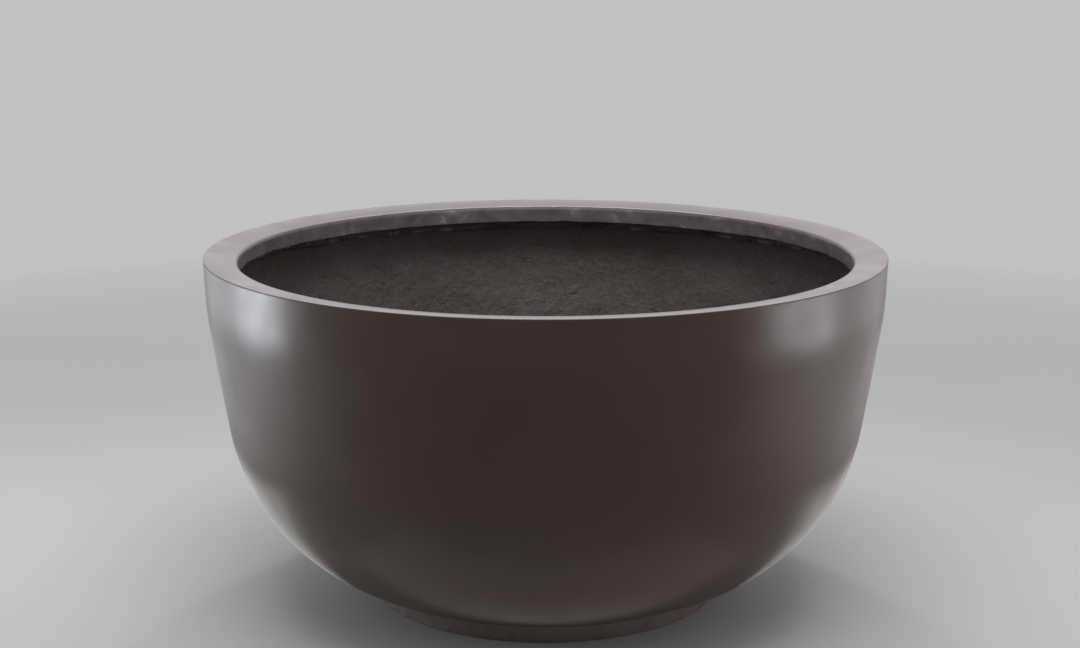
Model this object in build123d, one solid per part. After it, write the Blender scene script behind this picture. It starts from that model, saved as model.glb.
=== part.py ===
from build123d import *
import math
import os

# A round bowl planter laid up in glass fibre, 42 in across its rim.
# Millimetres, Z up, origin at the centre of the foot's underside.

# Outer face, from the rim down: an upright band, a gentle bend, a straight taper and one belly arc
bowl_radius = 533.4
rim_band = 49.0
rim_band_draft = 1.8
taper_bend_radius = 455.0
wall_taper = 9.0
taper_length = 165.0
belly_radius = 318.0

# Foot, an L section with its short leg turned in to bear on the ground
foot_radius = 274.0
foot_height = 26.5
foot_wall = 6.0
foot_tread = 45.0
foot_edge_round = 2.0

# Laminates
shell_thickness = 5.5
rim_thickness = 5.0
lip_thickness = 4.5
strip_thickness = 3.0
skin_thickness = 3.5

# Rim, dished so that its inner edge is lower, with a lip turned down at that edge
rim_width = 52.4
rim_drop = 6.5
lip_height = 26.7
rim_outer_round = 1.2
rim_inner_round = 6.0
rim_hollow_round = 1.5

# Bonding strips of wetted mat
rim_strip_count = 12
rim_strip_fall = 46.0
rim_strip_clear = 4.0
rim_strip_round = 8.0
foot_strip_count = 8
foot_strip_leg = 18.0
foot_strip_round = 5.0
strip_gap_angle = 0.6

# Stiffened floor
core_radius = 225.0
core_thickness = 12.0
skin_lap_radius = 258.0

# Drain
drain_radius = 12.5
sleeve_wall = 3.0
sleeve_flange_radius = 24.0
sleeve_flange_thickness = 3.0
sleeve_edge_round = 1.0
sleeve_stub = 8.0
glue_gap = 0.3

# Stopper
stopper_clearance = 0.3
stopper_taper = 1.2
stopper_tip_reach = 4.0
head_radius = 20.0
head_thickness = 5.0
neck_radius = 5.0
neck_height = 4.0
grip_radius = 9.0
grip_height = 6.0
stopper_round = 1.5

draft = math.radians(rim_band_draft)
taper = math.radians(wall_taper)

# The belly arc turns until it reaches the foot, which settles its last slope and the bowl's depth
run_in_above = (
    rim_band * math.sin(draft)
    + taper_bend_radius * (math.cos(draft) - math.cos(taper))
    + taper_length * math.sin(taper)
)
belly_run_in = bowl_radius - run_in_above - foot_radius
belly_end = math.acos(math.cos(taper) - belly_run_in / belly_radius)
bowl_depth = (
    rim_band * math.cos(draft)
    + taper_bend_radius * (math.sin(taper) - math.sin(draft))
    + taper_length * math.cos(taper)
    + belly_radius * (math.sin(belly_end) - math.sin(taper))
)

overall_height = foot_height + bowl_depth
rim_inner_radius = bowl_radius - rim_width
lip_bottom = overall_height - rim_drop - lip_height
floor_level = foot_height + shell_thickness * math.sin(belly_end)
core_top = floor_level + core_thickness
skin_top = core_top + skin_thickness
sleeve_radius = drain_radius + sleeve_wall
sleeve_bottom = foot_height - sleeve_stub
stopper_seat = skin_top + sleeve_flange_thickness
drain_hole_radius = sleeve_radius + glue_gap


def down(slope):
    """Direction down the wall where it leans in by slope, in radians, off upright."""
    return Vector(-math.sin(slope), -math.cos(slope))


def outward(slope):
    """Direction square to the wall, away from the bowl, where it leans in by slope."""
    return Vector(math.cos(slope), -math.sin(slope))


def wall_curve(inset):
    """The outer face moved in by inset, from the rim to the foot, as radius and height."""
    top = Vector(bowl_radius, overall_height) - inset * outward(draft)
    band = Line(top, top + rim_band * down(draft))
    bend = JernArc(band @ 1, band % 1, taper_bend_radius - inset, rim_band_draft - wall_taper)
    straight = Line(bend @ 1, bend @ 1 + taper_length * down(taper))
    belly_turn = wall_taper - math.degrees(belly_end)
    belly = JernArc(straight @ 1, straight % 1, belly_radius - inset, belly_turn)
    return [band, bend, straight, belly]


def rim_top(radius):
    """Height of the rim's top face at a radius."""
    return overall_height - rim_drop * (bowl_radius - radius) / rim_width


def rim_under(radius):
    """Height of the rim's underside at a radius."""
    return rim_top(radius) - rim_thickness


def wall_inside(height):
    """Radius of the shell's inner face at a height within the upright band."""
    fall = overall_height - height
    return bowl_radius - shell_thickness / math.cos(draft) - fall * math.tan(draft)


def rim_hollow():
    """Where the rim's underside meets the shell's inner face, as radius and height."""
    dish = rim_drop / rim_width
    wall_width = shell_thickness / math.cos(draft)
    fall = (rim_thickness + dish * wall_width) / (1 - dish * math.tan(draft))
    height = overall_height - fall
    return wall_inside(height), height


def outline(*points):
    """A closed face through points given as radius and height."""
    return make_face(Polyline(*points, close=True))


def rounded(face, corner, radius):
    """The face with one corner, the one nearest the given point, rounded."""
    nearest = face.vertices().sort_by_distance(Vector(*corner))[0]
    return fillet(nearest, radius)


def turned(face, angle=360):
    """A face of radius and height carried round the bowl's axis."""
    return revolve(Plane.XZ * face, Axis.Z, angle)


def drilled(solid):
    """The solid with the drain's hole through it."""
    return solid - Cylinder(drain_hole_radius, 2 * overall_height)


def strips(face, count):
    """Separate lengths of one bonding strip, laid end to end right round the bowl."""
    pitch = 360 / count
    length = turned(face, pitch - strip_gap_angle)
    return Compound([Rot(0, 0, pitch * step) * length for step in range(count)])


def bowl_shell():
    """Wall and floor in one laminate, trimmed at the top to carry the rim."""
    outer = wall_curve(0)
    inner = wall_curve(shell_thickness)
    underside = Line(outer[-1] @ 1, (0, foot_height))
    axis = Line((0, foot_height), (0, floor_level))
    floor = Line((0, floor_level), inner[-1] @ 1)
    top_edge = Line(inner[0] @ 0, outer[0] @ 0)
    section = make_face(outer + [underside, axis, floor] + inner + [top_edge])
    beyond = bowl_radius + rim_width
    above = overall_height + rim_width
    trim = outline(
        (rim_inner_radius, rim_under(rim_inner_radius)),
        (beyond, rim_under(beyond)),
        (beyond, above),
        (rim_inner_radius, above),
    )
    return drilled(turned(section - trim))


def rim_ring():
    """Dished flange that lies on the shell's top edge, with the lip at its inner edge."""
    flange_foot = bowl_radius - rim_thickness * math.tan(draft)
    lip_back = rim_inner_radius + lip_thickness
    outer_corner = (bowl_radius, rim_top(bowl_radius))
    inner_corner = (rim_inner_radius, rim_top(rim_inner_radius))
    hollow_corner = (lip_back, rim_under(lip_back))
    section = outline(
        outer_corner,
        inner_corner,
        (rim_inner_radius, lip_bottom),
        (lip_back, lip_bottom),
        hollow_corner,
        (flange_foot, rim_under(flange_foot)),
    )
    section = rounded(section, outer_corner, rim_outer_round)
    section = rounded(section, inner_corner, rim_inner_round)
    section = rounded(section, hollow_corner, rim_hollow_round)
    return turned(section)


def rim_bond_strips():
    """Wetted mat in the corner between the rim's underside and the inside of the wall."""
    low = overall_height - rim_strip_fall
    corner, corner_height = rim_hollow()
    toe = rim_inner_radius + lip_thickness + rim_strip_clear
    heel = corner - strip_thickness
    hollow_corner = (heel, rim_under(heel) - strip_thickness)
    section = outline(
        (wall_inside(low), low),
        (corner, corner_height),
        (toe, rim_under(toe)),
        (toe, rim_under(toe) - strip_thickness),
        hollow_corner,
        (wall_inside(low) - strip_thickness, low),
    )
    section = rounded(section, hollow_corner, rim_strip_round)
    return strips(section, rim_strip_count)


def foot_ring():
    """Recessed ring that the bowl stands on."""
    inner_face = foot_radius - foot_wall
    tread_edge = foot_radius - foot_tread
    section = outline(
        (foot_radius, 0),
        (foot_radius, foot_height),
        (inner_face, foot_height),
        (inner_face, foot_wall),
        (tread_edge, foot_wall),
        (tread_edge, 0),
    )
    return turned(rounded(section, (foot_radius, 0), foot_edge_round))


def foot_bond_strips():
    """Wetted mat in the corner between the foot ring and the bowl's underside."""
    inner_face = foot_radius - foot_wall
    hollow_corner = (inner_face - strip_thickness, foot_height - strip_thickness)
    section = outline(
        (inner_face, foot_height),
        (inner_face - foot_strip_leg, foot_height),
        (inner_face - foot_strip_leg, foot_height - strip_thickness),
        hollow_corner,
        (inner_face - strip_thickness, foot_height - foot_strip_leg),
        (inner_face, foot_height - foot_strip_leg),
    )
    section = rounded(section, hollow_corner, foot_strip_round)
    return strips(section, foot_strip_count)


def floor_core():
    """Plywood disc on the shell's floor, its edge bevelled so that mat lies over it."""
    section = outline(
        (0, floor_level),
        (core_radius, floor_level),
        (core_radius - core_thickness, core_top),
        (0, core_top),
    )
    return drilled(turned(section))


def floor_laminate():
    """Glass skin over the core, of even thickness down the bevel and out onto the floor."""
    bevel_shift = skin_thickness * math.tan(math.radians(22.5))
    section = outline(
        (0, core_top),
        (core_radius - core_thickness, core_top),
        (core_radius, floor_level),
        (skin_lap_radius, floor_level),
        (skin_lap_radius, floor_level + skin_thickness),
        (core_radius + bevel_shift, floor_level + skin_thickness),
        (core_radius - core_thickness + bevel_shift, skin_top),
        (0, skin_top),
    )
    return drilled(turned(section))


def drain_sleeve():
    """Flanged tube that lines the drain and stands a little below the floor as a drip edge."""
    mouth = (drain_radius, stopper_seat)
    rim = (sleeve_flange_radius, stopper_seat)
    section = outline(
        (drain_radius, sleeve_bottom),
        (sleeve_radius, sleeve_bottom),
        (sleeve_radius, skin_top),
        (sleeve_flange_radius, skin_top),
        rim,
        mouth,
    )
    section = rounded(section, mouth, sleeve_edge_round)
    section = rounded(section, rim, sleeve_edge_round)
    return turned(section)


def drain_stopper():
    """Rubber stopper with a head that seats on the sleeve and a grip to pull it out by."""
    stem_radius = drain_radius - stopper_clearance
    tip = sleeve_bottom + stopper_tip_reach
    head_top = stopper_seat + head_thickness
    neck_top = head_top + neck_height
    grip_top = neck_top + grip_height
    head_edge = (head_radius, head_top)
    grip_edge = (grip_radius, grip_top)
    section = outline(
        (0, tip),
        (stem_radius - stopper_taper, tip),
        (stem_radius, stopper_seat),
        (head_radius, stopper_seat),
        head_edge,
        (neck_radius, head_top),
        (neck_radius, neck_top),
        (grip_radius, neck_top),
        grip_edge,
        (0, grip_top),
    )
    section = rounded(section, head_edge, stopper_round)
    section = rounded(section, grip_edge, stopper_round)
    return turned(section)


os.makedirs("parts", exist_ok=True)
for make in (
    bowl_shell,
    rim_ring,
    rim_bond_strips,
    foot_ring,
    foot_bond_strips,
    floor_core,
    floor_laminate,
    drain_sleeve,
    drain_stopper,
):
    export_step(make(), f"parts/{make.__name__}.step")

print("overall height", round(overall_height, 1))
print("rim opening radius", round(rim_inner_radius, 1))
print("lip bottom", round(lip_bottom, 1), "floor level", round(floor_level, 1))
print("stopper seat", round(stopper_seat, 1), "belly's last slope", round(math.degrees(belly_end), 1))
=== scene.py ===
import math
import bpy
import numpy as np
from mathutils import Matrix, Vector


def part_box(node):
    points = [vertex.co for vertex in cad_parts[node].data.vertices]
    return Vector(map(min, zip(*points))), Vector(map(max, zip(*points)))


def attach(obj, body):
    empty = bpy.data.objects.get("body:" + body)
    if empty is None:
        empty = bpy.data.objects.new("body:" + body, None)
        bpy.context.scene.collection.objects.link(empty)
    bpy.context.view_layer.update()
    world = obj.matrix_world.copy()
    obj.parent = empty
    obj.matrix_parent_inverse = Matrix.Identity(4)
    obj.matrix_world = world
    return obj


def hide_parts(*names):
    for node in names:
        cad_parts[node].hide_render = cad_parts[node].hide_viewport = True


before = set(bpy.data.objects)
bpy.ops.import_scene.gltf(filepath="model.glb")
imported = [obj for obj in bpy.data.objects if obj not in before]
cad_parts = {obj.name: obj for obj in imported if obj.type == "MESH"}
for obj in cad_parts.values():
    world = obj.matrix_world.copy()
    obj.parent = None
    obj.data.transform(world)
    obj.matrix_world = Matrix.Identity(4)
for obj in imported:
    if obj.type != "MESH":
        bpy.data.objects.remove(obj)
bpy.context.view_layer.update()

# The bowl's outside: a smooth skin against the mould, painted a satin dark brown and rubbed down by
# hand, so that it is very slightly wavy. It is the outer 1.2 mm of a laminate 5.5 mm thick.

rim_radius = 0.5334
rim_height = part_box("rim_ring")[1].z
foot_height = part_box("foot_ring")[1].z
foot_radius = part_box("foot_ring")[1].x
rim_thickness = 0.005
draft = math.radians(1.8)
taper = math.radians(9.0)
band_length = 0.049
bend_radius = 0.455
taper_length = 0.165
belly_radius = 0.318
shell_thickness = 0.0055
coat_thickness = 0.0012
around_fine = 720
coat_index = 1.4

above_belly = band_length * math.sin(draft) + bend_radius * (math.cos(draft) - math.cos(taper))
above_belly += taper_length * math.sin(taper)
belly_run = rim_radius - above_belly - foot_radius
belly_end = math.acos(math.cos(taper) - belly_run / belly_radius)


def wall_line(inset, steps):
    """The wall's line from the foot up to the rim, moved in by inset.

    Its slope off upright is steady over the band and the taper and grows evenly with length in
    the bend and the belly, so radius and height are sums of its sine and cosine along the length.
    """
    lengths = [0.0, band_length, bend_radius * (taper - draft), taper_length]
    lengths.append(belly_radius * (belly_end - taper))
    knots = np.cumsum(lengths)
    along = np.linspace(0.0, knots[-1], 4001)
    slope = np.interp(along, knots, [draft, draft, taper, taper, belly_end])
    middle = 0.5 * (slope[1:] + slope[:-1])
    step = along[1]
    radius = rim_radius - np.concatenate([[0.0], np.cumsum(np.sin(middle) * step)])
    height = rim_height - np.concatenate([[0.0], np.cumsum(np.cos(middle) * step)])
    radius -= inset * np.cos(slope)
    height += inset * np.sin(slope)
    pick = np.linspace(knots[-1], 0.0, steps)
    return np.interp(pick, along, radius), np.interp(pick, along, height)


def on_circle(radius, height, around):
    """Points of a profile carried round the axis: each profile point makes a level circle."""
    angle = np.linspace(0.0, 2.0 * math.pi, around, endpoint=False)
    points = np.empty((len(radius), around, 3))
    points[..., 0] = radius[:, None] * np.cos(angle)
    points[..., 1] = radius[:, None] * np.sin(angle)
    points[..., 2] = height[:, None]
    return points


def waves(points, length, count, seed):
    """A smooth random field of mean 0 and spread 1 with bumps of one length.

    It is a sum of cosines along random directions in space, each with a random start.
    """
    chance = np.random.default_rng(seed)
    heading = chance.normal(size=(count, 3))
    heading /= np.linalg.norm(heading, axis=1)[:, None]
    heading *= 2.0 * math.pi / (length * chance.uniform(0.75, 1.35, (count, 1)))
    start = chance.uniform(0.0, 2.0 * math.pi, count)
    field = np.zeros(points.shape[:-1])
    for direction, shift in zip(heading, start):
        field += np.cos(points @ direction + shift)
    return field * math.sqrt(2.0 / count)


def outward_of(points, closed=False):
    """Unit directions square to a grid of points, from the cross product of its two runs."""
    if closed:
        up = np.roll(points, -1, axis=0) - np.roll(points, 1, axis=0)
    else:
        up = np.gradient(points, axis=0)
    ahead = np.roll(points, -1, axis=1) - np.roll(points, 1, axis=1)
    square = np.cross(ahead, up)
    return square / np.maximum(np.linalg.norm(square, axis=-1), 1e-12)[..., None]


def closed_ring(name, points, crease=35.0):
    """A mesh from a grid of points that closes both ways, as a ring does, faces outwards."""
    rows, columns = points.shape[:2]
    index = np.arange(rows * columns).reshape(rows, columns)
    right = np.roll(index, -1, axis=1)
    above, right_above = np.roll(index, -1, axis=0), np.roll(right, -1, axis=0)
    quads = np.stack([index, right, right_above, above], axis=-1).reshape(-1, 4)
    return mesh_piece(name, points.reshape(-1, 3), quads.tolist(), crease)


def mesh_piece(name, vertices, faces, crease):
    """A smooth-shaded object from points and faces, creased past an angle in degrees."""
    mesh = bpy.data.meshes.new(name)
    mesh.from_pydata(vertices.tolist(), [], faces)
    mesh.shade_smooth()
    mesh.set_sharp_from_angle(angle=math.radians(crease))
    piece = bpy.data.objects.new(name, mesh)
    bpy.context.scene.collection.objects.link(piece)
    return piece


def hand_rubbed(points):
    """How far a rubbed-down face stands proud: long shallow waves, 0.1 to 0.2 mm high."""
    return 0.00016 * waves(points, 0.21, 24, 3) + 0.00005 * waves(points, 0.07, 32, 4)


def add_node(tree, kind, inputs=(), **settings):
    """A shader node: each input is linked where a socket is given, and otherwise set."""
    node = tree.nodes.new(kind)
    for setting, value in settings.items():
        setattr(node, setting, value)
    for name, value in dict(inputs).items():
        if isinstance(value, bpy.types.NodeSocket):
            tree.links.new(value, node.inputs[name])
        else:
            node.inputs[name].default_value = value
    return node


def noise(tree, where, scale, detail=3.0, rough=0.55, warp=0.0):
    """The grey value of a noise pattern, scale being bumps per metre."""
    inputs = {"Vector": where, "Scale": scale, "Detail": detail}
    inputs |= {"Roughness": rough, "Distortion": warp}
    return add_node(tree, "ShaderNodeTexNoise", inputs).outputs["Fac"]


def colours(tree, value, *stops):
    """A colour from a grey value, through stops of place and colour."""
    ramp = add_node(tree, "ShaderNodeValToRGB", {"Fac": value})
    while len(ramp.color_ramp.elements) < len(stops):
        ramp.color_ramp.elements.new(0.5)
    for element, (place, colour) in zip(ramp.color_ramp.elements, stops):
        element.position = place
        element.color = (*colour, 1.0)
    return ramp.outputs["Color"]


def spread(tree, value, low, high, new_low, new_high):
    """A grey value stretched from one range to another and held at its ends."""
    inputs = {"Value": value, "From Min": low, "From Max": high}
    inputs |= {"To Min": new_low, "To Max": new_high}
    return add_node(tree, "ShaderNodeMapRange", inputs).outputs["Result"]


def worked_out(tree, operation, *values):
    """A grey value worked out from others: added, multiplied, or multiplied and then added."""
    inputs = dict(enumerate(values))
    return add_node(tree, "ShaderNodeMath", inputs, operation=operation).outputs[0]


def mixed(tree, share, first, second):
    """A colour that goes from the first to the second as the share goes from 0 to 1."""
    inputs = {"Factor": share, "A": first, "B": second}
    return add_node(tree, "ShaderNodeMix", inputs, data_type="RGBA").outputs["Result"]


def stored(tree, name, output="Fac"):
    """A value that the piece's own mesh stores under a name."""
    return add_node(tree, "ShaderNodeAttribute", attribute_name=name).outputs[output]


def bump(tree, height, depth, under=None):
    """Normals of a relief of that depth in metres, laid over an earlier relief's normals."""
    inputs = {"Height": height, "Distance": depth, "Strength": 1.0}
    if under is not None:
        inputs["Normal"] = under
    return add_node(tree, "ShaderNodeBump", inputs).outputs["Normal"]


def new_finish(name):
    """An empty material: its node tree, its shader and the object's own coordinates."""
    finish = bpy.data.materials.new(name)
    finish.use_nodes = True
    tree = finish.node_tree
    tree.nodes.clear()
    shader = add_node(tree, "ShaderNodeBsdfPrincipled")
    add_node(tree, "ShaderNodeOutputMaterial", {"Surface": shader.outputs["BSDF"]})
    where = add_node(tree, "ShaderNodeTexCoord").outputs["Object"]
    return finish, tree, shader, where


def set_shader(tree, shader, **inputs):
    """Sets or links the shader's own inputs, underscores standing for spaces."""
    for name, value in inputs.items():
        socket = shader.inputs[name.replace("_", " ")]
        if isinstance(value, bpy.types.NodeSocket):
            tree.links.new(value, socket)
        else:
            socket.default_value = value


dark_brown = (0.048, 0.0232, 0.016)
lighter_brown = (0.055, 0.0284, 0.0208)
lip_grey = (0.07, 0.055, 0.06)
lip_light_grey = (0.1, 0.085, 0.096)
# the lip's lightest patches: a painted highlight, standing in for light caught on the lip's lumps
lip_painted_glint_patch = (0.2, 0.185, 0.2)
least_dull, most_dull = 0.29, 0.35
hand_laid_dullness = 0.38
hand_laid_relief = 0.0013
spray_relief = 0.00003


def satin_brown_coat():
    """Satin dark brown paint over gelcoat: faint cloudy tone, fine spray texture, duller patches.

    Where a piece stores "hand_laid" as 1, the paint lies on rough laminate: it is dull and lumpy,
    and greyer, with its lightest patches painted in as painted highlight, light caught on lumps.
    """
    finish, tree, shader, where = new_finish("satin_brown_coat")
    hand_laid = stored(tree, "hand_laid")
    patchy = noise(tree, where, 22.0, 4.0, 0.65, 0.4)
    # The lip's tone: greys, and at its top end lighter patches of painted highlight.
    lip_tone_and_painted_glints = colours(tree, patchy, (0.35, lip_grey), (0.58, lip_light_grey), (0.7, lip_painted_glint_patch))
    cloud = noise(tree, where, 7.0, 4.0)
    tone = colours(tree, cloud, (0.3, dark_brown), (0.7, lighter_brown))
    tone = mixed(tree, hand_laid, tone, lip_tone_and_painted_glints)
    haze = noise(tree, where, 16.0, 2.0, 0.5)
    dull = spread(tree, haze, 0.3, 0.7, least_dull, most_dull)
    dull = worked_out(tree, "MULTIPLY_ADD", hand_laid, hand_laid_dullness, dull)
    spray = bump(tree, noise(tree, where, 320.0, 2.0), spray_relief)
    lumps = worked_out(tree, "MULTIPLY", noise(tree, where, 75.0, 3.0, 0.6), hand_laid)
    relief = bump(tree, lumps, hand_laid_relief, spray)
    set_shader(tree, shader, Base_Color=tone, Roughness=dull, Normal=relief, IOR=coat_index)
    return finish


brown_coat = satin_brown_coat()

seat_top = rim_height - rim_thickness
outer_radius, outer_height = wall_line(0.0, 116)
keep = outer_height < seat_top
outer_radius = np.append(outer_radius[keep], rim_radius - rim_thickness * math.tan(draft))
outer_height = np.append(outer_height[keep], seat_top)
back_radius, back_height = wall_line(coat_thickness, 18)
keep = back_height < seat_top
back_radius = np.append(back_radius[keep], outer_radius[-1] - coat_thickness)[::-1]
back_height = np.append(back_height[keep], seat_top)[::-1]
skin = on_circle(outer_radius, outer_height, around_fine)
skin += hand_rubbed(skin)[..., None] * outward_of(skin)
skin_back = on_circle(back_radius, back_height, around_fine)
outer_skin = closed_ring("outer_skin", np.concatenate([skin, skin_back]))
outer_skin.data.materials.append(brown_coat)
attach(outer_skin, "planter")
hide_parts("bowl_shell")

# The bowl's inside: glass mat wetted with brown resin and rolled down by hand. It is rough, with
# lumps, small blisters and pits, and its chopped strands show through the resin. The wall is one
# piece, and the belly, the flat floor and its smooth underside are another.

drain_hole_radius = 0.0158
floor_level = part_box("floor_core")[0].z
wall_split = 0.3
mark_rows = 6
blister_height, blister_size = 0.0019, 0.0026
pit_depth, pit_size, pit_stretch = 0.0022, 0.0018, 3.0
seam_fade = 0.05
clear_of_rim = 0.0007


def bell_marks(points, count, seed, size, stretch=1.0):
    """Marks of height 1 at random places of a grid of points, each a bell curve of its distance.

    A stretch above 1 draws each mark out along a random direction.
    """
    chance = np.random.default_rng(seed)
    rows = chance.integers(mark_rows, points.shape[0] - mark_rows, count)
    columns = chance.integers(0, points.shape[1], count)
    scales = size * chance.uniform(0.65, 1.35, count)
    lean = chance.uniform(0.0, math.pi, count)
    marks = np.zeros(points.shape[:-1])
    for row, column, scale, tilt in zip(rows, columns, scales, lean):
        near = slice(row - mark_rows, row + mark_rows + 1)
        gap = points[near] - points[row, column]
        across = points[row, (column + 1) % points.shape[1]] - points[row, column]
        across *= math.cos(tilt) / np.linalg.norm(across)
        run = gap @ (across + np.array([0.0, 0.0, math.sin(tilt)]))
        square = (gap ** 2).sum(-1) - run ** 2 + (run / stretch) ** 2
        marks[near] = np.maximum(marks[near], np.exp(-square / (2.0 * scale ** 2)))
    return marks


def laid_by_hand(points):
    """How far rolled mat stands proud of a true face: lumps of three sizes, 0.1 to 0.8 mm high."""
    lumps = 0.00045 * waves(points, 0.14, 20, 11) + 0.00032 * waves(points, 0.04, 32, 12)
    return lumps + 0.00009 * waves(points, 0.014, 48, 13)


def lay_map(piece, around, along, shown):
    """Stores the mat's own coordinates, metres round and metres along, and how far strands show."""
    place = piece.data.attributes.new("lay", "FLOAT_VECTOR", "POINT")
    values = np.stack([around, along, shown], axis=-1).astype(np.float32)
    place.data.foreach_set("vector", values.ravel())


strand_headings = (0.3, 1.4, 2.5)
strand_stretch = 8.0
strands_per_metre = 150.0
strand_height = 0.00038
rolled_relief = 0.0034
resin_index = 1.5
# pale grey painted highlight, for glints on the rim strips' glossy resin bead
glint_streak_grey = (0.27, 0.255, 0.26, 1.0)
inside_light = (0.094, 0.066, 0.066)
inside_dark = (0.058, 0.038, 0.037)


def strand_relief(tree, where, heading):
    """Grey value of fine lines along one heading: noise drawn out to many times its width."""
    inputs = {"Vector": where, "Location": (heading, heading * 0.7, 0.0)}
    inputs |= {"Rotation": (0.0, 0.0, heading), "Scale": (1.0, strand_stretch, 1.0)}
    turned = add_node(tree, "ShaderNodeMapping", inputs, vector_type="TEXTURE").outputs[0]
    field = noise(tree, turned, strands_per_metre, 2.0, 0.5, 0.6)
    return spread(tree, field, 0.56, 0.72, 0.0, 1.0)


def resin_over_mat(name, gloss, coordinates=None):
    """Brown resin over chopped strand: cloudy tone, crossed fine strands, patches of more gloss.

    Where a piece stores its painted highlight share as 1, the tone turns to a pale grey glint.
    """
    finish, tree, shader, where = new_finish(name)
    lay, shown = where, 1.0
    if coordinates:
        lay = stored(tree, coordinates, "Vector")
        shown = add_node(tree, "ShaderNodeSeparateXYZ", {0: lay}).outputs["Z"]
        level = {0: lay, 1: (1.0, 1.0, 0.0)}
        lay = add_node(tree, "ShaderNodeVectorMath", level, operation="MULTIPLY").outputs[0]
    cloud = noise(tree, where, 9.0, 4.0, 0.6)
    speck = noise(tree, where, 150.0, 3.0, 0.65)
    both = worked_out(tree, "ADD", cloud, speck)
    both = spread(tree, both, 0.78, 1.22, 0.0, 1.0)
    tone = colours(tree, both, (0.0, inside_dark), (1.0, inside_light))
    tone = mixed(tree, stored(tree, "painted_glint_streaks"), tone, glint_streak_grey)
    relief = bump(tree, noise(tree, where, 62.0, 5.0, 0.64, 0.5), rolled_relief)
    for heading in strand_headings:
        strands = worked_out(tree, "MULTIPLY", strand_relief(tree, lay, heading), shown)
        relief = bump(tree, strands, strand_height, relief)
    shine = spread(tree, noise(tree, where, 38.0, 3.0), 0.35, 0.65, gloss + 0.1, gloss - 0.06)
    set_shader(tree, shader, Base_Color=tone, Roughness=shine, Normal=relief, IOR=resin_index)
    return finish


laminate = resin_over_mat("rough_laminate", 0.72, "lay")

back_radius, back_height = wall_line(coat_thickness, 260)
face_radius, face_height = wall_line(shell_thickness, 260)


def cut_level(radius, height, level, above):
    """The part of a rising line above or below a level, ending exactly at it."""
    edge = np.interp(level, height, radius)
    if above:
        return np.append(edge, radius[height > level]), np.append(level, height[height > level])
    return np.append(radius[height < level], edge), np.append(height[height < level], level)


def laminate_piece(name, outer_line, inner_line, around, blister_count, pit_count):
    """A closed skin from a smooth outer line, foot to top, and a rough inner line, top to foot."""
    smooth = on_circle(*outer_line, around)
    face = on_circle(*inner_line, around)
    rise = laid_by_hand(face) + blister_height * bell_marks(face, blister_count, 17, blister_size)
    rise -= pit_depth * bell_marks(face, pit_count, 23, pit_size, pit_stretch)
    face = face + rise[..., None] * outward_of(face)
    piece = closed_ring(name, np.concatenate([smooth, face]), 50.0)
    line = np.concatenate([np.stack(outer_line, axis=1), np.stack(inner_line, axis=1)])
    along = np.append(0.0, np.cumsum(np.linalg.norm(np.diff(line, axis=0), axis=1)))
    turn = np.linspace(0.0, 2.0 * math.pi, around, endpoint=False)
    clear_of_seam = np.clip(np.minimum(turn, turn[::-1]) / seam_fade, 0.0, 1.0)
    metres_round = 0.5 * turn
    lay = np.broadcast_arrays(metres_round[None, :], along[:, None], clear_of_seam[None, :])
    lay_map(piece, *lay)
    piece.data.materials.append(laminate)
    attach(piece, "planter")
    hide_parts("bowl_shell")


below_seat = back_height < seat_top
outer_line = cut_level(back_radius[below_seat], back_height[below_seat], wall_split, True)
below_seat = face_height < seat_top - clear_of_rim
inner_line = cut_level(face_radius[below_seat], face_height[below_seat], wall_split, True)
inner_line = [values[::-1] for values in inner_line]
laminate_piece("inside_wall", [values[::24] for values in outer_line], inner_line, 870, 90, 70)

face_radius, face_height = wall_line(shell_thickness, 175)
outer_line = [values[::12] for values in cut_level(back_radius, back_height, wall_split, False)]
outer_line[0] = np.concatenate([[drain_hole_radius, foot_radius - coat_thickness], outer_line[0]])
outer_line[1] = np.concatenate([[foot_height, foot_height], outer_line[1]])
inner_line = [values[::-1] for values in cut_level(face_radius, face_height, wall_split, False)]
floor_radii = np.linspace(inner_line[0][-1], drain_hole_radius, 40)[1:]
inner_line[0] = np.append(inner_line[0], floor_radii)
inner_line[1] = np.append(inner_line[1], np.full(len(floor_radii), floor_level))
laminate_piece("belly_and_floor", outer_line, inner_line, 570, 70, 50)

# The rim: a moulded ring laid on the trimmed top of the wall and painted with it. Its top is
# dished and slightly crowned, and its outer edge is crisp. Its lip was trimmed by hand, so that
# its edge wanders, and paint has run down it in a few drips.

rim_inner_radius = 0.481
rim_drop = 0.0065
lip_height = 0.0267
lip_thickness = 0.0045
outer_round = 0.0012
inner_round = 0.006
lip_round = 0.0006
hollow_round = 0.0015
rim_crown = 0.001
rim_rubbing = 0.12
lip_ripple = 0.0003
drip_size = 0.0038
drip_height = 0.0014
rough_from = 0.004


def rounded_line(corners, steps):
    """A closed outline through corners given as radius, height and rounding, each an arc."""
    points = np.array([corner[:2] for corner in corners], float)
    line = []
    for here, corner in enumerate(corners):
        rounding = corner[2]
        before = points[here - 1] - points[here]
        after = points[(here + 1) % len(points)] - points[here]
        before /= np.linalg.norm(before)
        after /= np.linalg.norm(after)
        if rounding == 0.0:
            line.append(points[here][None])
            continue
        half = 0.5 * math.acos(float(np.clip(before @ after, -1.0, 1.0)))
        middle = before + after
        middle /= np.linalg.norm(middle)
        centre = points[here] + middle * rounding / math.sin(half)
        first = points[here] + before * rounding / math.tan(half) - centre
        last = points[here] + after * rounding / math.tan(half) - centre
        share = np.linspace(0.0, 1.0, steps)[:, None]
        sweep = math.pi - 2.0 * half
        arc = np.sin((1.0 - share) * sweep) * first + np.sin(share * sweep) * last
        line.append(centre + arc / math.sin(sweep))
    return np.concatenate(line)


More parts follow.
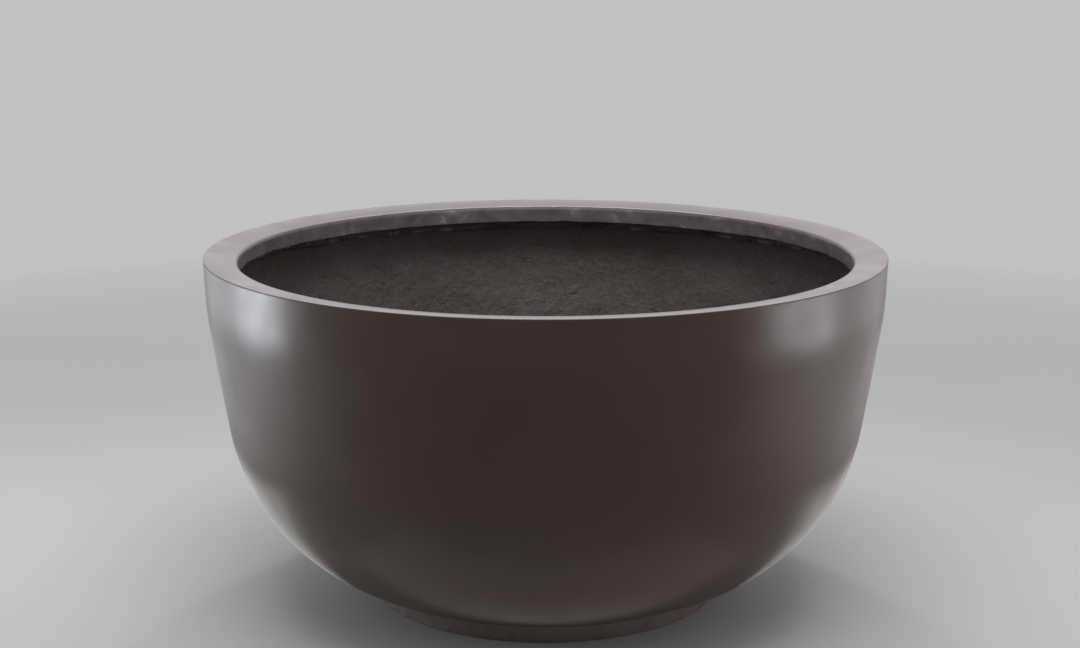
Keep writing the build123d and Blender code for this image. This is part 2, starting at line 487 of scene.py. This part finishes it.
def filled(line, gap):
    """The outline with points added so that none is further than gap from the next."""
    following = np.roll(line, -1, axis=0)
    lengths = np.linalg.norm(following - line, axis=1)
    parts = []
    for start, end, length in zip(line, following, lengths):
        count = max(int(math.ceil(length / gap)), 1)
        parts.append(start + (end - start) * np.arange(count)[:, None] / count)
    return np.concatenate(parts)


level_only = np.array([1.0, 1.0, 0.0])
lip_bottom = rim_height - rim_drop - lip_height
lip_back = rim_inner_radius + lip_thickness
dish =rim_drop / (rim_radius - rim_inner_radius)


def rim_under(radius):
    """Height of the underside of the rim at a radius."""
    return rim_height - dish * (rim_radius - radius) - rim_thickness


rim_outline = filled(rounded_line([
    (rim_radius - rim_thickness * math.tan(draft), seat_top, 0.0),
    (rim_radius, rim_height, outer_round),
    (rim_inner_radius, rim_height - rim_drop, inner_round),
    (rim_inner_radius, lip_bottom, lip_round),
    (lip_back, lip_bottom, lip_round),
    (lip_back, rim_under(lip_back), hollow_round),
], 9), 0.0035)
ring = on_circle(rim_outline[:, 0], rim_outline[:, 1], around_fine)


def trimmed_edge(points):
    """How far the lip's edge wanders up and down: slow swings and a few short nicks."""
    flat = points * level_only
    return 0.0009 * waves(flat, 0.5, 16, 21) + 0.00025 * waves(flat, 0.05, 24, 22)


def lip_drips(points):
    """Drips of height 1 on the lip's face: bell curves of the distance from each drip's place.

    Each place is an angle round the rim in degrees and a height above the lip's edge in mm.
    """
    places = np.array([
        (27.5, 6.0), (29.4, 11.0), (31.8, 4.0), (33.5, 9.0), (61.0, 5.0), (118.0, 8.0),
        (152.6, 5.0), (155.4, 10.0), (158.0, 4.0), (214.0, 6.0), (262.0, 9.0), (318.0, 5.0),
    ])
    turn = np.radians(places[:, 0])
    centres = rim_inner_radius * np.stack([np.cos(turn), np.sin(turn), np.zeros(len(turn))], axis=1)
    centres[:, 2] = lip_bottom + 0.001 * places[:, 1]
    square = ((points[:, :, None] - centres) ** 2).sum(-1)
    return np.exp(-square / (2.0 * drip_size ** 2)).sum(-1)


def store_share(piece, name, values):
    """Stores one value from 0 to 1 at each of the mesh's points, for a material to read."""
    share = piece.data.attributes.new(name, "FLOAT", "POINT")
    share.data.foreach_set("value", values.astype(np.float32).ravel())


distance = np.hypot(ring[..., 0], ring[..., 1])
across = np.clip((rim_radius - distance) / (rim_radius - rim_inner_radius), 0.0, 1.0)
top_face = ring[..., 2] > rim_height - dish * (rim_radius - distance) - 0.5 * rim_thickness
ring[..., 2] += rim_crown * 4.0 * across * (1.0 - across) * top_face
on_lip = distance < lip_back + 0.001
lip_top = rim_height - rim_drop - inner_round
hang = np.clip((lip_top - ring[..., 2]) / (lip_top - lip_bottom), 0.0, 1.0) * on_lip
rise = rim_rubbing * hand_rubbed(ring)
rise += hang * (lip_ripple * waves(ring, 0.045, 32, 24) + drip_height * lip_drips(ring))
ring = ring + rise[..., None] * outward_of(ring, True)
ring[..., 2] += hang * trimmed_edge(ring)
rim = closed_ring("rim", ring, 50.0)
below_top = np.clip((rim_height - rim_drop - ring[..., 2]) / rough_from, 0.0, 1.0)
store_share(rim, "hand_laid", below_top * on_lip)
rim.data.materials.append(brown_coat)
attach(rim, "planter")
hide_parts("rim_ring")

# Twelve lengths of wetted mat tie the rim to the wall from inside. Each is pressed round the
# corner with a brush and laps over the next. Resin has run into a glossy bead at its lower edge,
# where short pale grey streaks are painted in as painted highlight, glints on the bead.

strip_count = 12
strip_thickness = 0.003
resin_run = 0.007
strip_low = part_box("rim_bond_strips")[0].z - resin_run
strip_toe = lip_back + 0.004
strip_round = 0.008
strip_lap = math.radians(1.4)
strip_steps = 90
extra_at_lap = 0.45
glint_height = 0.003
glint_width = 0.0018
wall_slack = shell_thickness / math.cos(draft)
corner_fall = (rim_thickness + dish * wall_slack) / (1.0 - dish * math.tan(draft))
corner_height = rim_height - corner_fall


def wall_face(height):
    """Radius of the wall's inner face at a height within the upright band."""
    return rim_radius - wall_slack - (rim_height - height) * math.tan(draft)


def strip_lines():
    """Matched points on the strip's held face and its free face, from the low edge to the toe."""
    corner = wall_face(corner_height)
    heel = corner - strip_thickness
    up_wall = np.linspace(strip_low, corner_height, 16)[:-1]
    along_rim = np.linspace(corner, strip_toe, 12)
    held = np.concatenate([
        np.stack([wall_face(up_wall), up_wall], axis=1),
        np.stack([along_rim, rim_under(along_rim)], axis=1),
    ])
    free = rounded_line([
        (wall_face(strip_low) - strip_thickness, strip_low, 0.0),
        (heel, rim_under(heel) - strip_thickness, strip_round),
        (strip_toe, rim_under(strip_toe) - strip_thickness, 0.0),
    ], 11)
    walked = np.append(0.0, np.cumsum(np.linalg.norm(np.diff(free, axis=0), axis=1)))
    share = np.append(0.0, np.cumsum(np.linalg.norm(np.diff(held, axis=0), axis=1)))
    share *= walked[-1] / share[-1]
    matched = [np.interp(share, walked, free[:, part]) for part in (0, 1)]
    return held, np.stack(matched, axis=1)


def strip_points(number):
    """One strip as a grid of angle steps by points of its closed outline.

    The free face stands off by the thickness, more at the lap, with a bead near the low edge, and
    the low edge and the toe wander with the angle.
    """
    held, free = strip_lines()
    pitch = 2.0 * math.pi / strip_count
    share = np.linspace(0.0, 1.0, strip_steps)
    angle = pitch * number + share * (pitch + strip_lap)
    flat = np.stack([np.cos(angle), np.sin(angle), np.zeros(strip_steps)], axis=1)
    places = flat * rim_radius
    lap = np.clip((share * (pitch + strip_lap) - pitch + strip_lap) / strip_lap, 0.0, 1.0)
    thickness = 1.0 + extra_at_lap * lap * lap * (3.0 - 2.0 * lap)
    thickness += 0.12 * waves(places, 0.05, 16, 40 + number)
    edge = 0.0022 * waves(places, 0.16, 12, 60) + 0.0007 * waves(places, 0.022, 20, 61)
    body = np.array([0.05, 0.8, 1.0] + [1.0] * (len(held) - 5) + [0.75, 0.1])
    bead = np.array([0.0, 0.5, 0.9, 0.35] + [0.0] * (len(held) - 4))
    run = np.clip(0.3 + 0.6 * waves(places, 0.07, 16, 70 + number), 0.0, 1.3)
    stand = thickness[:, None] * body[None] + run[:, None] * bead[None]
    stand = (free - held)[None] * stand[..., None]
    pull = np.clip(1.0 - np.arange(len(held)) / 8.0, 0.0, 1.0)
    line = np.concatenate([np.broadcast_to(held, stand.shape), (held + stand)[:, ::-1]], axis=1)
    pull = np.concatenate([pull, pull[::-1]])
    height = line[..., 1] + edge[:, None] * pull
    radius = line[..., 0] + edge[:, None] * pull * math.tan(draft)
    return np.stack([radius * flat[:, :1], radius * flat[:, 1:2], height], axis=-1)


def capped_bars(name, bars, crease):
    """One mesh of several bars, each a grid of steps by outline points, its two ends closed."""
    count, steps, loop = bars.shape[:3]
    index = np.arange(steps * loop).reshape(steps, loop)
    after = np.roll(index, -1, axis=1)
    sides = np.stack([index[:-1], index[1:], after[1:], after[:-1]], axis=-1).reshape(-1, 4)
    ends = np.stack([index[0], index[-1][::-1]])
    faces = []
    for number in range(count):
        shift = number * steps * loop
        faces += (sides + shift).tolist() + (ends + shift).tolist()
    return mesh_piece(name, bars.reshape(-1, 3), faces, crease)


bonding_mat = resin_over_mat("bonding_mat", 0.3)
strip_grids = np.stack([strip_points(number) for number in range(strip_count)])
rim_strips = capped_bars("rim_strips", strip_grids, 50.0)
rim_strips.data.materials.append(bonding_mat)
# Painted highlight: pale grey streaks along the strips' low edge, standing in for glints on the
# resin bead.
glint_band = np.exp(-((strip_grids[..., 2] - strip_low - glint_height) / glint_width) ** 2)
glint_runs = np.clip(1.6 * (waves(strip_grids * level_only, 0.04, 24, 63) - 0.6), 0.0, 1.0)
store_share(rim_strips, "painted_glint_streaks", glint_band * glint_runs)
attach(rim_strips, "planter")
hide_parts("rim_bond_strips")

# The foot: a straight-sided moulded ring, set in under the bowl and painted in the same brown.
# Its paint is duller than the wall's and it stands in the bowl's own shade; its brown is painted
# paler, as painted bounce light.

foot_wall = 0.006
foot_tread = 0.045
# the foot's colours: the wall's brown painted paler, as painted bounce light on the shaded foot
foot_brown_with_painted_bounce = (0.085, 0.06, 0.053)
foot_scuffed_with_painted_bounce = (0.125, 0.097, 0.088)
foot_ripple = 0.00018
foot_grain = 0.00006


def foot_paint_with_painted_bounce():
    """The bowl's brown painted paler as painted bounce light, its paint duller and a little
    scuffed.
    """
    finish, tree, shader, where = new_finish("foot_paint_with_painted_bounce")
    scuff = noise(tree, where, 60.0, 4.0, 0.65)
    tone = colours(tree, scuff, (0.35, foot_brown_with_painted_bounce), (0.75, foot_scuffed_with_painted_bounce))
    dull = spread(tree, scuff, 0.35, 0.7, 0.34, 0.5)
    grain = bump(tree, noise(tree, where, 240.0, 2.0), foot_grain)
    set_shader(tree, shader, Base_Color=tone, Roughness=dull, Normal=grain, IOR=coat_index)
    return finish


foot_outline = filled(rounded_line([
    (foot_radius, 0.0, 0.002),
    (foot_radius, foot_height, 0.0),
    (foot_radius - foot_wall, foot_height, 0.0),
    (foot_radius - foot_wall, foot_wall, 0.0015),
    (foot_radius - foot_tread, foot_wall, 0.001),
    (foot_radius - foot_tread, 0.0, 0.001),
], 7), 0.004)
foot_points = on_circle(foot_outline[:, 0], foot_outline[:, 1], 540)
above_ground = np.clip(foot_points[..., 2] / 0.004, 0.0, 1.0)
below_bowl = foot_points[..., 2] < foot_height - 0.001
foot_wave = foot_ripple * waves(foot_points, 0.09, 24, 31) * above_ground * below_bowl
foot_points = foot_points + foot_wave[..., None] * outward_of(foot_points, True)
foot = closed_ring("foot", foot_points, 40.0)
foot.data.materials.append(foot_paint_with_painted_bounce())
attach(foot, "planter")
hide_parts("foot_ring")

# Eight strips of wetted mat hold the foot ring to the bowl's underside, where nobody sees them.
# They are the CAD's own solids in the bonding strips' finish.

foot_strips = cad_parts["foot_bond_strips"].data
foot_strips.materials.clear()
foot_strips.materials.append(bonding_mat)

# The floor is stiffened with a plywood disc, which a glass skin covers and laps over. The skin is
# brushed out by hand, so that its edge is ragged and its face rough.

sleeve_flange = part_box("drain_sleeve")[1].x
core_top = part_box("floor_core")[1].z
core_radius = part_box("floor_core")[1].x
skin_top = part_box("floor_laminate")[1].z
lap_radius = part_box("floor_laminate")[1].x
skin_thickness = skin_top - core_top
core_thickness = core_top - floor_level
ragged_from = core_radius + 0.006
skin_corner_round = 0.012
skin_edge_round = 0.0022
skin_blister_height, skin_blister_size = 0.0012, 0.0024


def birch_plywood():
    """Pale birch ply with long soft grain."""
    finish, tree, shader, where = new_finish("birch_plywood")
    lengthwise = {"Vector": where, "Scale": (1.0, 0.06, 1.0)}
    along = add_node(tree, "ShaderNodeMapping", lengthwise).outputs[0]
    grain = noise(tree, along, 130.0, 4.0, 0.6, 0.8)
    tone = colours(tree, grain, (0.3, (0.42, 0.27, 0.14)), (0.7, (0.56, 0.39, 0.23)))
    relief = bump(tree, grain, 0.0001)
    set_shader(tree, shader, Base_Color=tone, Roughness=0.7, Normal=relief)
    return finish


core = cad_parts["floor_core"].data
core.materials.clear()
core.materials.append(birch_plywood())

bevel_shift = skin_thickness * math.tan(math.radians(22.5))
skin_line = filled(rounded_line([
    (drain_hole_radius, skin_top, 0.0),
    (drain_hole_radius, core_top, 0.0),
    (core_radius - core_thickness, core_top, 0.0),
    (core_radius, floor_level, 0.0),
    (lap_radius, floor_level, 0.0),
    (lap_radius, floor_level + skin_thickness, skin_edge_round),
    (core_radius + bevel_shift, floor_level + skin_thickness, skin_corner_round),
    (core_radius - core_thickness + bevel_shift, skin_top, skin_corner_round),
], 9), 0.004)
skin_points = on_circle(skin_line[:, 0], skin_line[:, 1], 420)
level_points = skin_points * level_only
ragged = 0.0028 * waves(level_points, 0.09, 16, 51) + 0.0009 * waves(level_points, 0.02, 24, 52)
distance = np.hypot(skin_points[..., 0], skin_points[..., 1])
at_edge = np.clip((distance - ragged_from) / (lap_radius - ragged_from), 0.0, 1.0)
skin_points[..., :2] *= (1.0 + at_edge * ragged / lap_radius)[..., None]
upper_face = outward_of(skin_points, True)
clear_of_sleeve = np.clip((distance - sleeve_flange) / 0.01, 0.0, 1.0)
blisters = skin_blister_height * bell_marks(skin_points, 50, 57, skin_blister_size)
rise = laid_by_hand(skin_points) * 0.8 + blisters
rise *= np.clip(upper_face[..., 2], 0.0, 1.0) * clear_of_sleeve
floor_skin = closed_ring("floor_skin", skin_points + rise[..., None] * upper_face, 50.0)
lay_map(floor_skin, skin_points[..., 0], skin_points[..., 1], np.ones(skin_points.shape[:2]))
floor_skin.data.materials.append(laminate)
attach(floor_skin, "planter")
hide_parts("floor_laminate")

# The drain: a flanged sleeve of dark grey plastic, glued through floor, core and skin, so that
# water never reaches the plywood.


def moulded(name, colour, gloss, scale, depth):
    """A moulded plastic or rubber: even colour, faint grain and patches of more wear."""
    finish, tree, shader, where = new_finish(name)
    wear = noise(tree, where, 70.0, 4.0, 0.6)
    lighter = tuple(min(part * 1.35, 1.0) for part in colour)
    tone = colours(tree, wear, (0.4, colour), (0.75, lighter))
    dull = spread(tree, wear, 0.35, 0.7, gloss, gloss + 0.14)
    grain = bump(tree, noise(tree, where, scale, 2.0), depth)
    set_shader(tree, shader, Base_Color=tone, Roughness=dull, Normal=grain)
    return finish


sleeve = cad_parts["drain_sleeve"].data
sleeve.materials.clear()
sleeve.materials.append(moulded("sleeve_plastic", (0.05, 0.05, 0.052), 0.38, 500.0, 0.00004))

# The stopper: soft black rubber, turned in one piece, with a head that seals and a grip above it.
# It only sits in the sleeve, and lifts out by hand.

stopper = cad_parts["drain_stopper"].data
stopper.materials.clear()
stopper.materials.append(moulded("stopper_rubber", (0.022, 0.022, 0.024), 0.55, 700.0, 0.00005))

# A pale grey floor that fades into an even pale backdrop, with soft lamps overhead and behind.
# Low soft lamps at both sides give the satin wall its long highlights, and three that lie on the
# floor give the underside the light that a pale surface sends up.

floor_reach = 9.0
floor_gap = 0.0004
fade_start = 1.1
fade_end = 3.2
backdrop_colour = (0.53, 0.54, 0.535)
floor_colour = (0.375, 0.38, 0.375)
floor_dullness = 0.9
floor_specular = 0.2

floor_corners = np.array([(-1.0, -1.0, 0.0), (1.0, -1.0, 0.0), (1.0, 1.0, 0.0), (-1.0, 1.0, 0.0)])
floor_corners = floor_reach * floor_corners - np.array([0.0, 0.0, floor_gap])
floor = mesh_piece("pale_floor", floor_corners, [[0, 1, 2, 3]], 30.0)

pale, tree, shader, where = new_finish("pale_floor")
from_middle = add_node(tree, "ShaderNodeVectorMath", {0: where}, operation="LENGTH")
there = spread(tree, from_middle.outputs["Value"], fade_start, fade_end, 1.0, 0.0)
set_shader(tree, shader, Base_Color=(*floor_colour, 1.0), Roughness=floor_dullness, Alpha=there)
set_shader(tree, shader, Specular_IOR_Level=floor_specular)
floor.data.materials.append(pale)

left_tint = (0.88, 0.94, 1.0)
left_low_tint = (0.86, 0.93, 1.0)
right_tint = (1.0, 0.92, 0.985)
right_low_tint = (1.0, 0.9, 0.985)


def lamp(name, place, aim, width, height, level, tint, spread_angle=180.0):
    """A soft rectangular lamp of a given brightness, facing the aim and unseen by the camera."""
    light = bpy.data.lights.new(name, "AREA")
    light.shape = "RECTANGLE"
    light.size = width
    light.size_y = height
    light.energy = level * math.pi * width * height
    light.color = tint
    light.spread = math.radians(spread_angle)
    holder = bpy.data.objects.new(name, light)
    bpy.context.scene.collection.objects.link(holder)
    gap = np.array(aim) - np.array(place)
    tip = math.atan2(math.hypot(gap[0], gap[1]), -gap[2])
    turn = math.atan2(gap[1], gap[0]) - 0.5 * math.pi
    holder.location = place
    holder.rotation_euler = (tip, 0.0, turn)
    holder.visible_camera = False


lamp("overhead", (0.0, -0.55, 2.6), (0.0, 0.1, 0.45), 2.8, 1.2, 2.0, (1.0, 0.97, 1.0), 90.0)
lamp("back", (0.0, 2.5, 1.42), (0.0, 0.0, 0.72), 3.0, 1.5, 1.22, (0.95, 0.89, 1.0))
lamp("back_top", (0.0, 1.9, 2.3), (0.0, 0.48, 0.54), 0.25, 0.35, 5.5, (1.0, 0.96, 1.0), 60.0)
lamp("left_bounce", (-0.53, 0.3, 0.004), (-0.53, 0.301, 2.0), 0.42, 0.8, 0.9, (0.93, 1.0, 0.98))
lamp("right_bounce", (0.53, 0.3, 0.004), (0.53, 0.301, 2.0), 0.42, 0.8, 0.75, (1.0, 0.97, 0.93))
lamp("front_bounce", (0.0, -0.42, 0.004), (0.0, -0.419, 2.0), 0.8, 0.25, 0.25, (1.0, 0.85, 0.78))
lamp("left_low", (-1.8, 0.1, 0.18), (0.0, 0.1, 0.28), 0.65, 0.32, 6.9, (0.86, 0.92, 1.0), 120.0)
lamp("left_low_back", (-1.8, 1.05, 0.25), (0.0, 0.2, 0.3), 1.3, 0.46, 0.95, left_low_tint, 120.0)
lamp("left_card", (-1.6, 0.45, 0.01), (-1.6, 0.451, 2.0), 1.3, 2.2, 0.5, left_tint)
lamp("left_high", (-2.0, 0.2, 1.1), (0.0, 0.1, 0.6), 1.2, 0.9, 0.75, left_tint)
lamp("right_low", (1.8, -0.34, 0.18), (0.0, -0.34, 0.28), 0.95, 0.32, 3.2, right_low_tint, 120.0)
lamp("right_low_back", (1.8, 0.95, 0.25), (0.0, 0.2, 0.3), 1.5, 0.46, 0.48, right_low_tint, 120.0)
lamp("right_card", (1.6, 0.45, 0.01), (1.6, 0.451, 2.0), 1.3, 2.2, 0.4, right_tint)
lamp("right_high", (2.0, 0.2, 1.1), (0.0, 0.1, 0.6), 1.2, 0.9, 0.9, right_tint)

world = bpy.data.worlds.new("studio")
world.use_nodes = True
world.node_tree.nodes["Background"].inputs["Color"].default_value = (*backdrop_colour, 1.0)
world.node_tree.nodes["Background"].inputs["Strength"].default_value = 1.0
bpy.context.scene.world = world

# The camera stands where the photograph was taken from: 3.1 m in front of the bowl's middle and
# 0.55 m above its rim, looking down by 12 degrees through a lens of 67 mm on a 36 mm frame.

film_width = 36.0
camera_distance = 5.829 * rim_radius
camera_above_rim = 1.0222 * rim_radius
camera_pitch = 0.2109
camera_yaw = 0.0028
focal_pixels = 2000.0
frame_pixels = 1080.0
view = bpy.data.cameras.new("camera")
view.sensor_width = film_width
view.lens = film_width * focal_pixels / frame_pixels
camera = bpy.data.objects.new("camera", view)
camera.location = (0.0, -camera_distance, rim_height + camera_above_rim)
camera.rotation_euler = (0.5 * math.pi - camera_pitch, 0.0, camera_yaw)
bpy.context.scene.collection.objects.link(camera)
bpy.context.scene.camera = camera
bpy.context.scene.view_settings.view_transform = "Standard"
